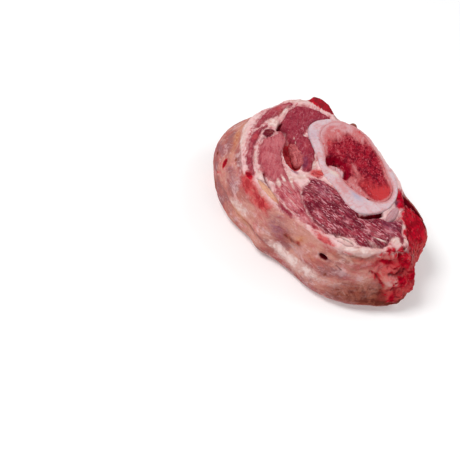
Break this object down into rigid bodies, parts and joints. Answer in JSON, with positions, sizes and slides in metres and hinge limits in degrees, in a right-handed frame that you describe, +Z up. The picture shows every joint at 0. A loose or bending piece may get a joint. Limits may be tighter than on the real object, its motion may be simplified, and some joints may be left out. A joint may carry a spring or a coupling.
{
  "type": "raw lamb neck slice",
  "caption": "Raw bone-in slice of lamb neck lying on its cut face: lean muscle, fat rim, sawn neck bone with red spongy core, yellow ligament.",
  "frame": {"origin": "middle of the bounding box's bottom, on the surface that the slice lies on", "axes": "+X along the long way of the cut face, towards the blood-stained end; +Z up, out of the shown cut face; -Y towards the back of the neck"},
  "size_m": [0.1248, 0.0822, 0.0353],
  "materials": {
    "meat": "wet raw lean with pink-white fat, satin",
    "bone": "sawn white bone, moist",
    "bone_core": "red spongy bone, wet and pitted",
    "ligament": "yellow ligament, satin",
    "cartilage": "pearly cartilage, glossy",
    "vessel": "wet pink vessel, glossy"
  },
  "bodies": {
    "root": {"meat": "meat", "bone": "bone", "bone_core": "bone_core", "ligament": "ligament", "cartilage": "cartilage", "vessel": "vessel"}
  },
  "joints": []
}
